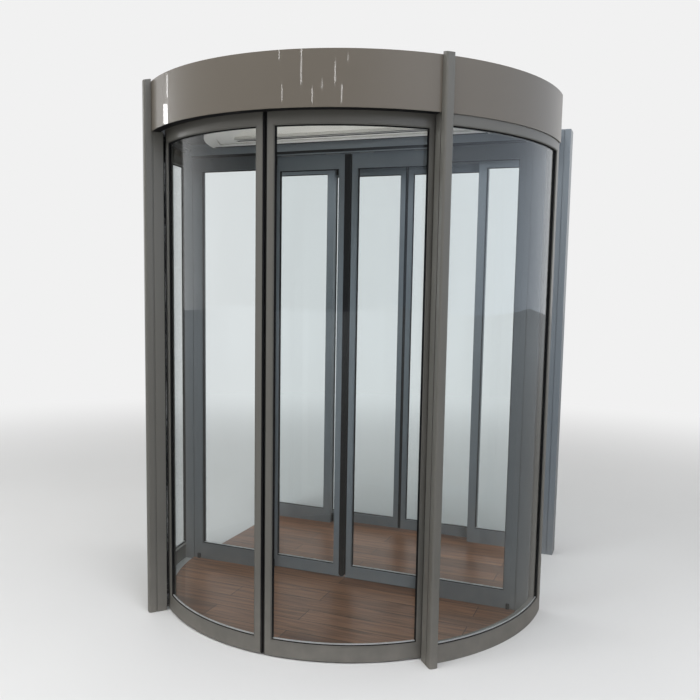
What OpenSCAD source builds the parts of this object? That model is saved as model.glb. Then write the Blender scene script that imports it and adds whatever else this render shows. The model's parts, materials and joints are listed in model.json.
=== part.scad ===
// Half-round automatic sliding door with a glazed drum front, a straight sliding
// door across its back and a second straight sliding door closing the lobby.
// Millimetres, +Z up. The origin lies on the floor at the axis of the drum,
// X runs across the doors and -Y is the way the curved front faces.

/* [Drum] */
// Radius of the outer face of the fascia
drum_r = 1000; // [900:10:1250]
// Height of the underside of the fascia above the floor
clear_h = 2185; // [1800:5:2600]
// Height of the fascia band
fascia_h = 210; // [170:5:300]
// Thickness of the curved sheet of the fascia
sheet_t = 4; // [3:1:6]
// Width of the flat rings that the fascia is fixed to
ring_w = 34; // [25:1:44]
// Thickness of the flat rings
ring_t = 4; // [3:1:8]
// Half of the angle of the front opening, between the posts
opening_half = 40.8; // [34:0.2:41.4]

/* [Posts] */
// Width of a front post along the drum
post_w = 38; // [32:1:60]
// How far a front post stands out from the fascia
post_proud = 32; // [20:1:45]
// Rounding of the front edges of a post
post_round = 10; // [4:1:12]
// How far a post rises above the fascia
post_over = 12; // [5:1:25]
// Height of the sloping cap of a post
post_cap = 8; // [4:1:20]

/* [Curved glazing] */
// Setback of the fixed side panels behind the face of the fascia
side_set = 6; // [4:1:12]
// Thickness of the frame of a fixed side panel
side_t = 44; // [36:1:54]
// Width of the front upright of a fixed side panel
side_front = 38; // [30:1:60]
// Width of the rear upright of a fixed side panel
side_stile = 52; // [40:1:70]
// Height of the bottom rail of a fixed side panel
side_rail = 76; // [60:2:130]
// Height of the top rail of a fixed side panel
side_head = 43; // [35:1:80]
// Radial gap between a curved leaf and the fixed side panel
leaf_gap = 15; // [10:1:24]
// Thickness of the frame of a curved leaf
leaf_t = 30; // [26:1:44]
// Width of the meeting upright of a curved leaf
lead_stile = 30; // [26:1:50]
// Width of the rear upright of a curved leaf
rear_stile = 44; // [36:1:60]
// How far a closed curved leaf laps behind the side panel
leaf_lap = 28; // [20:1:60]
// Height of the bottom rail of a curved leaf
leaf_rail = 67; // [55:1:110]
// Height of the top rail of a curved leaf
leaf_head = 68; // [50:1:100]
// Width of the rubber nose on a meeting upright of a curved leaf
curved_nose = 7; // [5:0.5:12]

/* [Straight doors] */
// Y of the face of the rear door's side screens
rear_y = 800; // [600:10:1100]
// Width of a jamb of the middle door
mid_jamb_w = 82; // [82:1:150]
// Half of the width of the rear doorway between its jambs
rear_half = 890; // [780:1:900]
// How far the header of the middle door hangs under the canopy
mid_drop = 5; // [2:1:60]
// How far the underside of the rear header lies above that of the canopy
rear_rise = 65; // [0:5:90]
// Width of a jamb of the rear door
rear_jamb_w = 60; // [45:1:90]
// Distance from the face of a screen to the face of a middle leaf
mid_step = 45; // [40:1:60]
// Distance from the face of a screen to the face of a rear leaf
rear_step = 60; // [45:1:80]
// Width of the right middle leaf, without its strip
mid_leaf_w = 420; // [392:1:424]
// Width of a rear leaf
rear_leaf_w = 484; // [440:1:490]
// How far a closed straight leaf laps behind its screen
flat_lap = 15; // [12:1:45]
// How far a closed rear leaf laps behind its screen
rear_lap = 43; // [12:1:45]
// Thickness of the frames of the straight leaves and screens
flat_t = 30; // [26:1:36]
// Width of the uprights of the straight leaves and screens
flat_stile = 31; // [28:1:48]
// Width of the uprights of the rear door's side screens
rear_screen_stile = 46; // [36:1:60]
// Height of the bottom rail of a straight leaf
flat_rail = 60; // [50:1:90]
// Height of the bottom rail of a side screen
screen_rail = 86; // [60:1:120]
// Height of the top rail of a middle leaf
flat_head = 71; // [50:1:100]
// Height of the top rail of a rear leaf
rear_leaf_head = 48; // [40:1:80]
// Height of the top rail of a rear screen
rear_screen_head = 43; // [36:1:70]
// Width of the rubber nose on the meeting upright of the left middle leaf
mid_nose = 32; // [8:1:40]
// Width of the rubber strip on the meeting upright of the right middle leaf
mid_strip = 2; // [2:1:8]
// Width of the rubber nose on a meeting upright of a rear leaf
rear_nose = 6; // [5:1:18]
// Height of the header box of a straight door
header_h = 150; // [120:5:190]
// How far a header stands out in front of its screens
header_out = 65; // [50:1:90]

/* [Glass and clearances] */
// Thickness of the glass
glass_t = 8; // [6:1:10]
// Depth of the glass in the groove of its frame
glass_bite = 12; // [8:1:16]
// Depth of the glass behind the outer face of a curved frame
glass_set = 11; // [8:1:12]
// Width of the glazing bead around each pane
bead_w = 4; // [3:1:12]
// Depth of the glazing bead behind the face of the frame
bead_set = 1.5; // [1:0.5:3]
// Clearance between moving pieces
run_gap = 6; // [5:0.5:10]
// Gap left at seats
seat_gap = 0.3; // [0.1:0.1:0.5]
// Height of the black guide blocks
guide_h = 46; // [30:1:70]
// Thickness of the floor boards inside the lobby
floor_t = 12; // [8:1:20]

/* [Running gear] */
// Radius of a roller
roller_r = 14; // [10:1:17]
// Thickness of a roller
roller_w = 12; // [8:1:14]
// Radius of the axle of a roller
axle_r = 4; // [3:0.5:5]
// Thickness of the hanger plate of a carriage
hanger_t = 12; // [8:1:14]
// Length of the hanger plate of a carriage
hanger_l = 70; // [50:1:90]
// Wall thickness of the track and header profiles
track_t = 8; // [6:1:10]
// Thickness of the bracket plates that carry the track
bracket_t = 6; // [4:1:10]
// Height of the arm of a bracket plate
bracket_arm = 14; // [10:1:20]
// Radius of the motor
motor_r = 32; // [25:1:40]
// Length of the motor with its gearbox
motor_l = 230; // [180:5:300]
// Length of the gearbox
gear_w = 60; // [50:1:90]
// Width of the control box
control_w = 320; // [200:10:450]
// Depth of the control box
control_d = 110; // [80:5:160]
// Height of the control box
control_h = 62; // [40:1:90]

/* [Ceiling] */
// Thickness of the ceiling panel
ceiling_t = 6; // [4:1:10]
// Radius of the round edge of the trim under the ceiling panel
ceiling_r = 735; // [600:5:750]
// Width of the trim that frames the ceiling panel
trim_w = 144; // [100:2:180]
// Drop of the trim below the ceiling panel
trim_t = 20; // [14:1:24]

/* [Hidden] */
$fn = 180;

frame_grey = [0.46, 0.44, 0.41];
frame_cool = [0.40, 0.41, 0.42];
glass_tint = [0.70, 0.80, 0.80, 0.35];
rubber_black = [0.05, 0.05, 0.05];
steel_grey = [0.55, 0.56, 0.58];
ceiling_cream = [0.80, 0.78, 0.73];
board_brown = [0.35, 0.20, 0.14];

// Radii from the outside of the drum inward
side_r_out = drum_r - side_set;
side_r_in = side_r_out - side_t;
leaf_r_out = side_r_in - leaf_gap;
leaf_r_in = leaf_r_out - leaf_t;
leaf_r_mid = (leaf_r_out + leaf_r_in) / 2;
side_r_mid = (side_r_out + side_r_in) / 2;

// Heights
top_z = clear_h + fascia_h;
leaf_low = 5;
leaf_top = clear_h + 20;
track_low = leaf_top + 13;
track_high = track_low + 72;
ceiling_z = track_low + 17;
above_ceiling = ceiling_z + ceiling_t + 2 * seat_gap;
mid_head_z = clear_h - mid_drop;
rear_head_z = clear_h + rear_rise;
mid_header_top = mid_head_z + header_h;
rear_header_top = rear_head_z + header_h;

// Angles, counted from the middle of the front
function degrees_of(length, radius) = length / radius * 180 / PI;
nose_half = run_gap / 2;
leaf_a1 = degrees_of(nose_half + curved_nose, leaf_r_mid);
leaf_a2 = opening_half + degrees_of(leaf_lap, leaf_r_mid);

// Track that carries the curved leaves, with a ledge for the ceiling
track_half_w = 42;
ledge = 12;
slot_half = hanger_t / 2 + run_gap + 2;
track_r_in = leaf_r_mid - track_half_w;
track_r_out = leaf_r_mid + track_half_w;

// Straight doors, the middle one flush with the flat back of the drum
door_back = 10;
mid_back = 0;
mid_y = mid_back - door_back - flat_t - mid_step;
rear_back = rear_y + rear_step + flat_t + door_back;
mid_jamb_out = sqrt(side_r_in * side_r_in - mid_y * mid_y) - seat_gap;
mid_half = mid_jamb_out - mid_jamb_w;
mid_front = mid_y - header_out;
mid_header_half = min(mid_half, sqrt(track_r_in * track_r_in - mid_front * mid_front));
rear_jamb_out = rear_half + rear_jamb_w;
lobby_half = min(mid_half, rear_half) - seat_gap;
mid_right_x = nose_half + mid_strip;
mid_left_x = nose_half + mid_nose;
mid_leaf_end = mid_right_x + mid_leaf_w;
rear_leaf_x = nose_half + rear_nose;
mid_screen_x = mid_leaf_end - flat_lap;
rear_screen_x = rear_leaf_x + rear_leaf_w - rear_lap;

// Small helpers

module left_side() { mirror([1, 0, 0]) children(); }

module box(x1, x2, y1, y2, z1, z2) {
  translate([x1, y1, z1]) cube([x2 - x1, y2 - y1, z2 - z1]);
}

// Block bent along the drum, its angles counted from the middle of the front
module arc_block(r1, r2, z1, z2, a1, a2) {
  rotate([0, 0, a1 - 90])
    rotate_extrude(angle = a2 - a1)
      translate([r1, z1]) square([r2 - r1, z2 - z1]);
}

// Keeps what lies in front of the plane at y
module in_front_of(y) {
  difference() {
    children();
    box(-2 * drum_r, 2 * drum_r, y, y + 2 * drum_r, -10, top_z + 500);
  }
}

// Curved frame with beads on both faces and a groove that holds the glass
module arc_frame(r1, r2, z1, z2, a1, a2, low, head, stile_1, stile_2) {
  mid = (r1 + r2) / 2;
  w1 = a1 + degrees_of(stile_1, mid);
  w2 = a2 - degrees_of(stile_2, mid);
  bead = degrees_of(bead_w, mid);
  bite = degrees_of(glass_bite, mid);
  pane_out = r2 - glass_set;
  difference() {
    arc_block(r1, r2, z1, z2, a1, a2);
    arc_block(r1 - 1, r2 + 1, z1 + low, z2 - head, w1, w2);
    arc_block(r2 - bead_set, r2 + 1, z1 + low - bead_w, z2 - head + bead_w, w1 - bead, w2 + bead);
    arc_block(r1 - 1, r1 + bead_set, z1 + low - bead_w, z2 - head + bead_w, w1 - bead, w2 + bead);
    arc_block(pane_out - glass_t - seat_gap, pane_out + seat_gap,
      z1 + low - glass_bite, z2 - head + glass_bite, w1 - bite, w2 + bite);
  }
}

module arc_pane(r1, r2, z1, z2, a1, a2, low, head, stile_1, stile_2) {
  mid = (r1 + r2) / 2;
  bite = degrees_of(glass_bite - seat_gap, mid);
  arc_block(r2 - glass_set - glass_t, r2 - glass_set,
    z1 + low - glass_bite, z2 - head + glass_bite - seat_gap,
    a1 + degrees_of(stile_1, mid) - bite, a2 - degrees_of(stile_2, mid) + bite);
}

// Straight frame of the same kind, its face at y
module flat_frame(x1, x2, y, z1, z2, low, head, stile = flat_stile) {
  w1 = x1 + stile;
  w2 = x2 - stile;
  mid = y + flat_t / 2;
  difference() {
    box(x1, x2, y, y + flat_t, z1, z2);
    box(w1, w2, y - 1, y + flat_t + 1, z1 + low, z2 - head);
    box(w1 - bead_w, w2 + bead_w, y - 1, y + bead_set, z1 + low - bead_w, z2 - head + bead_w);
    box(w1 - bead_w, w2 + bead_w, y + flat_t - bead_set, y + flat_t + 1,
      z1 + low - bead_w, z2 - head + bead_w);
    box(w1 - glass_bite, w2 + glass_bite, mid - glass_t / 2 - seat_gap, mid + glass_t / 2 + seat_gap,
      z1 + low - glass_bite, z2 - head + glass_bite);
  }
}

module flat_pane(x1, x2, y, z1, z2, low, head, stile = flat_stile) {
  mid = y + flat_t / 2;
  bite = glass_bite - seat_gap;
  box(x1 + stile - bite, x2 - stile + bite, mid - glass_t / 2, mid + glass_t / 2,
    z1 + low - glass_bite, z2 - head + bite);
}

// Canopy

module fascia_sheet(a1, a2) {
  color(frame_grey) arc_block(drum_r - sheet_t, drum_r, clear_h, top_z, a1, a2);
}

// The joints of the fascia lie behind the middle of the posts
fascia_joint = opening_half + degrees_of(post_w / 2, drum_r);
joint_gap = degrees_of(seat_gap, drum_r);

module fascia_front() { fascia_sheet(-fascia_joint + joint_gap, fascia_joint - joint_gap); }

module fascia_sides() {
  in_front_of(0) {
    fascia_sheet(fascia_joint, 91);
    left_side() fascia_sheet(fascia_joint, 91);
  }
}

// Rings along the lower and upper edges of the fascia
ring_r_out = drum_r - sheet_t - seat_gap;

module canopy_rings() {
  color(frame_grey)
    in_front_of(0)
      for (z = [clear_h, top_z - ring_t])
        arc_block(ring_r_out - ring_w, ring_r_out, z, z + ring_t, -91, 91);
}

module canopy_back() {
  color(frame_grey) {
    box(-drum_r, drum_r, 0, sheet_t, clear_h, top_z);
    box(-drum_r + 2 * ring_w, drum_r - 2 * ring_w, -ring_w, 0.5, top_z - ring_t, top_z);
  }
}

// Two angle profiles bent along the drum: the rollers run on the lips at either side of the slot
module track_rails() {
  ledge_t = 3;
  color(steel_grey) in_front_of(mid_y - seat_gap) {
    arc_block(track_r_in, track_r_in + track_t, track_low, track_high, -91, 91);
    arc_block(track_r_in, leaf_r_mid - slot_half, track_low, track_low + track_t, -91, 91);
    in_front_of(mid_y - header_out - seat_gap)
      arc_block(track_r_in - ledge, track_r_in + 1, ceiling_z - ledge_t, ceiling_z, -91, 91);
    arc_block(track_r_out - track_t, track_r_out, track_low, track_high, -91, 91);
    arc_block(leaf_r_mid + slot_half, track_r_out, track_low, track_low + track_t, -91, 91);
  }
}

// Bracket plates that stand on the lower ring and carry both rails
module bracket_outline() {
  foot_in = ring_r_out - ring_w + 4;
  foot_z = clear_h + ring_t + seat_gap;
  arm_z = track_high + seat_gap;
  difference() {
    polygon([
      [track_r_in, arm_z],
      [foot_in, arm_z],
      [foot_in, foot_z],
      [ring_r_out, foot_z],
      [ring_r_out, arm_z + 2 * bracket_arm],
      [ring_r_out - bracket_arm, arm_z + 2 * bracket_arm],
      [track_r_out - bracket_arm, arm_z + bracket_arm],
      [track_r_in, arm_z + bracket_arm]
    ]);
    translate([(foot_in + ring_r_out) / 2, (foot_z + arm_z) / 2]) circle(r = ring_w / 5);
  }
}

module track_brackets() {
  color(steel_grey)
    for (a = [-75 : 15 : 75])
      rotate([0, 0, a - 90])
        rotate([90, 0, 0])
          translate([0, 0, -bracket_t / 2]) linear_extrude(height = bracket_t) bracket_outline();
}

// Stepped frame with a groove that edges the ceiling panel from below
module trim_plan(inset) {
  intersection() {
    circle(r = ceiling_r - inset);
    translate([-drum_r, -drum_r]) square([2 * drum_r, drum_r + mid_y - header_out - seat_gap - inset]);
  }
}

module ceiling_trim() {
  step = 6;
  groove = 4;
  first = trim_w * 0.42;
  low = ceiling_z - trim_t;
  color(frame_cool)
    difference() {
      translate([0, 0, low]) linear_extrude(height = trim_t)
        difference() {
          trim_plan(0);
          trim_plan(trim_w);
        }
      translate([0, 0, low - 1]) linear_extrude(height = 1 + step) trim_plan(first);
      translate([0, 0, low]) linear_extrude(height = step + groove)
        difference() {
          trim_plan(first);
          trim_plan(first + groove);
        }
    }
}

// Motor with its gearbox on a saddle against the inner rail, at the front
module drive_unit() {
  saddle = 14;
  base = above_ceiling;
  face = -(track_r_in - saddle);
  color(steel_grey) {
    intersection() {
      box(-motor_l / 2, motor_l / 2, -drum_r, face, base, track_high);
      cylinder(r = track_r_in - seat_gap, h = top_z);
    }
    box(-motor_l / 2, -motor_l / 2 + gear_w, face - 1, face + 2 * motor_r + 8, base, base + 2 * motor_r + 8);
    translate([-motor_l / 2 + gear_w - 1, face + motor_r + 4, base + motor_r + 4])
      rotate([0, 90, 0]) {
        cylinder(r = motor_r, h = motor_l - gear_w + 1);
        for (x = [12 : 20 : motor_l - gear_w - 10])
          translate([0, 0, x]) cylinder(r = motor_r + 3, h = 6, $fn = 60);
      }
    box(0, gear_w / 2, face - 1, face + motor_r, base, base + motor_r);
  }
}

module control_box() {
  base = above_ceiling;
  far = mid_y - header_out - 40;
  lid = 6;
  color(frame_cool) {
    box(-control_w / 2, control_w / 2, far - control_d, far, base, base + control_h);
    box(-control_w / 2 - lid, control_w / 2 + lid, far - control_d - lid, far + lid,
      base + control_h - lid, base + control_h);
  }
}

module ceiling_panel() {
  color(ceiling_cream)
    in_front_of(mid_y - header_out - seat_gap)
      translate([0, 0, ceiling_z + seat_gap]) cylinder(r = track_r_in - seat_gap, h = ceiling_t);
}

// Post outline: narrow neck towards the drum, rounded front edges
module post_outline() {
  half = post_w / 2;
  front = post_proud + side_set;
  neck = 7;
  step = 3;
  translate([0, -half + step]) square([neck + 1, post_w - 2 * step]);
  translate([neck, -half]) square([front - post_round - neck, post_w]);
  translate([0, -half + post_round]) square([front, post_w - 2 * post_round]);
  for (s = [-1, 1])
    translate([front - post_round, s * (half - post_round)]) circle(r = post_round);
}

module post() {
  a = opening_half + degrees_of(post_w / 2, drum_r);
  front = post_proud + side_set;
  height = top_z + post_over;
  color(frame_grey)
    difference() {
      rotate([0, 0, a - 90])
        difference() {
          translate([side_r_out + seat_gap, 0, 0])
            linear_extrude(height = height) post_outline();
          translate([side_r_out + front, -post_w, height - post_cap])
            rotate([0, atan2(post_cap, front) - 90, 0])
              translate([0, 0, -2 * front]) cube([post_cap * 3, 2 * post_w, 4 * front]);
        }
      translate([0, 0, clear_h - 1]) cylinder(r = drum_r + seat_gap, h = 600);
      translate([0, 0, -1]) cylinder(r = side_r_out + seat_gap, h = clear_h);
    }
}

module front_posts() {
  post();
  left_side() post();
}

// Fixed side panels

module side_frame() {
  in_front_of(0)
    arc_frame(side_r_in, side_r_out, 0, clear_h, opening_half, 90,
      side_rail, side_head, side_front, side_stile);
}

module side_frames() {
  color(frame_grey) {
    side_frame();
    left_side() side_frame();
  }
}

module side_pane() {
  arc_pane(side_r_in, side_r_out, 0, clear_h, opening_half, 90,
    side_rail, side_head, side_front, side_stile);
}

module side_glass() {
  color(glass_tint) {
    side_pane();
    left_side() side_pane();
  }
}

// Curved leaves

module curved_leaf_right() {
  color(frame_grey)
    arc_frame(leaf_r_in, leaf_r_out, leaf_low, leaf_top, leaf_a1, leaf_a2,
      leaf_rail, leaf_head, lead_stile, rear_stile);
}

module curved_leaf_left() { left_side() curved_leaf_right(); }

module curved_glass_right() {
  color(glass_tint)
    arc_pane(leaf_r_in, leaf_r_out, leaf_low, leaf_top, leaf_a1, leaf_a2,
      leaf_rail, leaf_head, lead_stile, rear_stile);
}

module curved_glass_left() { left_side() curved_glass_right(); }

module curved_nose_right() {
  color(rubber_black)
    arc_block(leaf_r_in + 3, leaf_r_out - 3, leaf_low, leaf_top - 4,
      degrees_of(nose_half, leaf_r_mid), leaf_a1);
}

module curved_nose_left() { left_side() curved_nose_right(); }

// Wheel with a chamfered tread and a recessed web
module roller() {
  web = 2;
  rim = 4;
  rotate_extrude($fn = 64)
    polygon([
      [0, 0],
      [axle_r + 3, 0],
      [axle_r + 3, web],
      [roller_r - rim, web],
      [roller_r - rim, 0],
      [roller_r - 1, 0],
      [roller_r, 1],
      [roller_r, roller_w - 1],
      [roller_r - 1, roller_w],
      [roller_r - rim, roller_w],
      [roller_r - rim, roller_w - web],
      [axle_r + 3, roller_w - web],
      [axle_r + 3, roller_w],
      [0, roller_w]
    ]);
}

// A carriage: hanger plate, axles and rollers that run on the lips beside the slot
module carriage(base_z, lip_z, sides) {
  axle_z = lip_z + roller_r + seat_gap;
  reach = track_half_w - track_t - run_gap;
  union() {
    box(-hanger_t / 2, hanger_t / 2, -hanger_l / 2, hanger_l / 2, base_z, axle_z + 8);
    for (y = [-hanger_l / 3, hanger_l / 3], s = sides)
      translate([0, y, axle_z]) rotate([0, s * 90, 0]) {
        cylinder(r = axle_r, h = reach, $fn = 32);
        translate([0, 0, reach - roller_w]) roller();
      }
    // Height adjusting nut
    translate([0, 0, axle_z]) rotate([0, sides[0] * 90, 0]) cylinder(r = 7, h = hanger_t / 2 + 5, $fn = 6);
  }
}

module curved_carriages_right() {
  inset = 7;
  color(steel_grey)
    for (a = [leaf_a1 + inset, leaf_a2 - inset])
      rotate([0, 0, a - 90]) translate([leaf_r_mid, 0, 0])
        carriage(leaf_top, track_low + track_t, [-1, 1]);
}

module curved_carriages_left() { left_side() curved_carriages_right(); }

// Straight doors

// Header box: a hollow profile, slotted under for the leaves, with a raised cover line
module header(half, y1, y2, leaf_mid_y, z1) {
  z2 = z1 + header_h;
  groove = 4;
  color(frame_cool)
    difference() {
      box(-half + seat_gap, half - seat_gap, y1, y2, z1, z2);
      box(-half + track_t, half - track_t, y1 + track_t, y2 - sheet_t, z1 + track_t, z2 - sheet_t);
      box(-half + track_t, half - track_t, leaf_mid_y - slot_half, leaf_mid_y + slot_half,
        z1 - 1, z1 + track_t + 1);
      box(-half - 1, half + 1, y1 - 1, y1 + groove, z1 + 40, z1 + 40 + groove);
    }
}

module mid_header() {
  header(mid_header_half, mid_y - header_out, mid_back, mid_y + mid_step + flat_t / 2, mid_head_z);
}

module rear_header() {
  header(rear_half, rear_y - header_out, rear_back, rear_y + rear_step + flat_t / 2, rear_head_z);
}

module jamb(x1, x2, y1, y2, height) {
  groove = 4;
  color(frame_cool)
    difference() {
      box(x1, x2, y1, y2, 0, height);
      box(x1 - 1, x1 + groove, y1 + 12, y1 + 18, -1, height + 1);
      box(x1 + 24, x1 + 28, y1 - 1, y1 + groove, -1, height + 1);
    }
}

module mid_jambs() {
  jamb(mid_half, mid_jamb_out, mid_y, mid_back, mid_header_top);
  left_side() jamb(mid_half, mid_jamb_out, mid_y, mid_back, mid_header_top);
}

module rear_jambs() {
  jamb(rear_half, rear_jamb_out, rear_y, rear_back, rear_header_top);
  left_side() jamb(rear_half, rear_jamb_out, rear_y, rear_back, rear_header_top);
}

module mid_screen() {
  flat_frame(mid_screen_x, mid_half - seat_gap, mid_y, floor_t, mid_head_z, screen_rail, flat_head);
}

module mid_screens() {
  color(frame_cool) {
    mid_screen();
    left_side() mid_screen();
  }
}

module mid_screen_pane() {
  flat_pane(mid_screen_x, mid_half - seat_gap, mid_y, floor_t, mid_head_z, screen_rail, flat_head);
}

module mid_screen_glass() {
  color(glass_tint) {
    mid_screen_pane();
    left_side() mid_screen_pane();
  }
}

mid_leaf_low = floor_t + run_gap;
mid_leaf_top = mid_head_z - run_gap;
rear_leaf_top = rear_head_z - run_gap;

module mid_leaf(x) {
  color(frame_cool)
    flat_frame(x, mid_leaf_end, mid_y + mid_step, mid_leaf_low, mid_leaf_top, flat_rail, flat_head);
}

module mid_leaf_right() { mid_leaf(mid_right_x); }

module mid_leaf_left() { left_side() mid_leaf(mid_left_x); }

module mid_leaf_glass(x) {
  color(glass_tint)
    flat_pane(x, mid_leaf_end, mid_y + mid_step, mid_leaf_low, mid_leaf_top, flat_rail, flat_head);
}

module mid_leaf_glass_right() { mid_leaf_glass(mid_right_x); }

module mid_leaf_glass_left() { left_side() mid_leaf_glass(mid_left_x); }

// Broad nose on the left leaf, its foot rounded, and a thin strip on the right leaf
module mid_nose_left() {
  y = mid_y + mid_step;
  color(rubber_black)
    left_side() {
      foot = mid_nose / 2;
      box(nose_half, mid_left_x, y + 2, y + flat_t - 2, mid_leaf_low + foot, mid_leaf_top);
      translate([nose_half + foot, y + 2, mid_leaf_low + foot])
        rotate([-90, 0, 0]) cylinder(r = foot, h = flat_t - 4, $fn = 96);
    }
}

module mid_nose_right() {
  y = mid_y + mid_step;
  color(rubber_black) box(nose_half, mid_right_x, y + 2, y + flat_t - 2, mid_leaf_low, mid_leaf_top);
}

// Two carriages on top of a straight leaf, their rollers towards the screens
module flat_carriages(x1, x2, y, base_z, lip_z) {
  color(steel_grey)
    for (at = [x1 + hanger_l, x2 - hanger_l])
      translate([at, y, 0]) rotate([0, 0, 90]) carriage(base_z, lip_z, [-1]);
}

module mid_carriages_right() {
  flat_carriages(mid_right_x, mid_leaf_end, mid_y + mid_step + flat_t / 2, mid_leaf_top,
    mid_head_z + track_t);
}

module mid_carriages_left() {
  left_side()
    flat_carriages(mid_left_x, mid_leaf_end, mid_y + mid_step + flat_t / 2, mid_leaf_top,
      mid_head_z + track_t);
}

module rear_screen() {
  flat_frame(rear_screen_x, rear_half - seat_gap, rear_y, floor_t, rear_head_z,
    screen_rail, rear_screen_head, rear_screen_stile);
}

module rear_screens() {
  color(frame_cool) {
    rear_screen();
    left_side() rear_screen();
  }
}

module rear_screen_pane() {
  flat_pane(rear_screen_x, rear_half - seat_gap, rear_y, floor_t, rear_head_z,
    screen_rail, rear_screen_head, rear_screen_stile);
}

module rear_screen_glass() {
  color(glass_tint) {
    rear_screen_pane();
    left_side() rear_screen_pane();
  }
}

module rear_leaf_right() {
  color(frame_cool)
    flat_frame(rear_leaf_x, rear_leaf_x + rear_leaf_w, rear_y + rear_step, mid_leaf_low,
      rear_leaf_top, flat_rail, rear_leaf_head);
}

module rear_carriages_right() {
  flat_carriages(rear_leaf_x, rear_leaf_x + rear_leaf_w, rear_y + rear_step + flat_t / 2,
    rear_leaf_top, rear_head_z + track_t);
}

module rear_carriages_left() { left_side() rear_carriages_right(); }

module rear_leaf_left() { left_side() rear_leaf_right(); }

module rear_leaf_glass_right() {
  color(glass_tint)
    flat_pane(rear_leaf_x, rear_leaf_x + rear_leaf_w, rear_y + rear_step, mid_leaf_low,
      rear_leaf_top, flat_rail, rear_leaf_head);
}

module rear_leaf_glass_left() { left_side() rear_leaf_glass_right(); }

module rear_nose_right() {
  y = rear_y + rear_step;
  color(rubber_black) box(nose_half, rear_leaf_x, y + 2, y + flat_t - 2, mid_leaf_low, rear_leaf_top);
}

module rear_nose_left() { left_side() rear_nose_right(); }

// Black guide blocks between each screen and its leaf, at the foot and under the header
module guide_pair(x, y, step, head_z) {
  for (s = [-1, 1], z = [floor_t, head_z - guide_h])
    scale([s, 1, 1])
      box(x - 5, x + 20, y + flat_t, y + step - run_gap, z, z + guide_h);
}

module guide_blocks() {
  color(rubber_black) {
    guide_pair(mid_screen_x, mid_y, mid_step, mid_head_z);
    guide_pair(rear_screen_x, rear_y, rear_step, rear_head_z);
    for (s = [-1, 1])
      scale([s, 1, 1])
        box(mid_half - 16, mid_half - seat_gap, mid_y - 9, mid_y, floor_t, floor_t + 26);
  }
}

// Floor boards inside the drum, through the middle doorway and up to the rear door
module floor_boards() {
  color(board_brown) {
    in_front_of(mid_y) cylinder(r = leaf_r_in - 10, h = floor_t);
    box(-mid_half + seat_gap, mid_half - seat_gap, mid_y - 1, mid_back + 1, 0, floor_t);
    box(-lobby_half, lobby_half, mid_back, rear_back, 0, floor_t);
  }
}

fascia_front();
fascia_sides();
canopy_rings();
canopy_back();
track_rails();
track_brackets();
ceiling_panel();
ceiling_trim();
drive_unit();
control_box();
front_posts();
side_frames();
side_glass();
curved_leaf_left();
curved_leaf_right();
curved_glass_left();
curved_glass_right();
curved_nose_left();
curved_nose_right();
curved_carriages_left();
curved_carriages_right();
mid_jambs();
mid_header();
mid_screens();
mid_screen_glass();
mid_leaf_left();
mid_leaf_right();
mid_leaf_glass_left();
mid_leaf_glass_right();
mid_nose_left();
mid_nose_right();
mid_carriages_left();
mid_carriages_right();
rear_jambs();
rear_header();
rear_screens();
rear_screen_glass();
rear_leaf_left();
rear_leaf_right();
rear_leaf_glass_left();
rear_leaf_glass_right();
rear_nose_left();
rear_nose_right();
rear_carriages_left();
rear_carriages_right();
guide_blocks();
floor_boards();
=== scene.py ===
# %% [markdown]
# # A half-round automatic sliding door
#
# The object is a glazed entrance lobby. Two bowed glass leaves close its round
# front, two straight leaves close the doorway across its flat back, and a second
# straight door stands behind. The metal parts and the panes come ready from the
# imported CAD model. This script gives each of them its finish and adds what is too
# small or too many for the CAD model: sealing strips, brushes, bolts and screws.

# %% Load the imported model
import json
import math

import bmesh
import bpy
from mathutils import Matrix, Vector


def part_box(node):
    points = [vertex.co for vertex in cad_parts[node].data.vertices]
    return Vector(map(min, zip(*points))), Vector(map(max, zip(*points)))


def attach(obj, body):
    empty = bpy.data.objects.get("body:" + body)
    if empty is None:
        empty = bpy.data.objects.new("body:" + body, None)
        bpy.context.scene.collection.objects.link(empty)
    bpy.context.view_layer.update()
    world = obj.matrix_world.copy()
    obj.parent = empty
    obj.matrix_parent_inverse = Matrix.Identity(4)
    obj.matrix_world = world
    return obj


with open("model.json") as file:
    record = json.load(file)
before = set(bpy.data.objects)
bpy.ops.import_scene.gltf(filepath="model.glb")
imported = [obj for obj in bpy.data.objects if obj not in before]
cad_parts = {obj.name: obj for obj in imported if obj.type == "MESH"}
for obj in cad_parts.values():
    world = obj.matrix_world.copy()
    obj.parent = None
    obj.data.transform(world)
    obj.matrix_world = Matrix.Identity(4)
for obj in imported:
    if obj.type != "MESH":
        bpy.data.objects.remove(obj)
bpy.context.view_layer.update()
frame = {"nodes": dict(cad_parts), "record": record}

# %% [markdown]
# ## The camera
#
# The photograph was taken standing, from in front and a little to the right. Its
# camera was worked out from the outlines of the fascia, the rails and the posts,
# so the numbers here are a position in metres, three turns, and a lens length that
# follows from the focal length in pixels. The picture's centre is not quite the
# lens's centre, which the two small shift values allow for.

# %% Camera at the photograph's place
view_place = Vector((1.46902, -3.66622, 1.53393))
turn, tilt, roll = -0.370253, 0.105111, 0.0180607
picture_side, focal_pixels = 700, 776.79
lens_centre_x, lens_centre_y = 359.33, 366.59
sensor_side = 36

level_ahead = Vector((math.sin(turn), math.cos(turn), 0))
level_right = Vector((math.cos(turn), -math.sin(turn), 0))
ahead = level_ahead * math.cos(tilt) - Vector((0, 0, 1)) * math.sin(tilt)
straight_up = level_right.cross(ahead)
right = level_right * math.cos(roll) + straight_up * math.sin(roll)
up = straight_up * math.cos(roll) - level_right * math.sin(roll)

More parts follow.
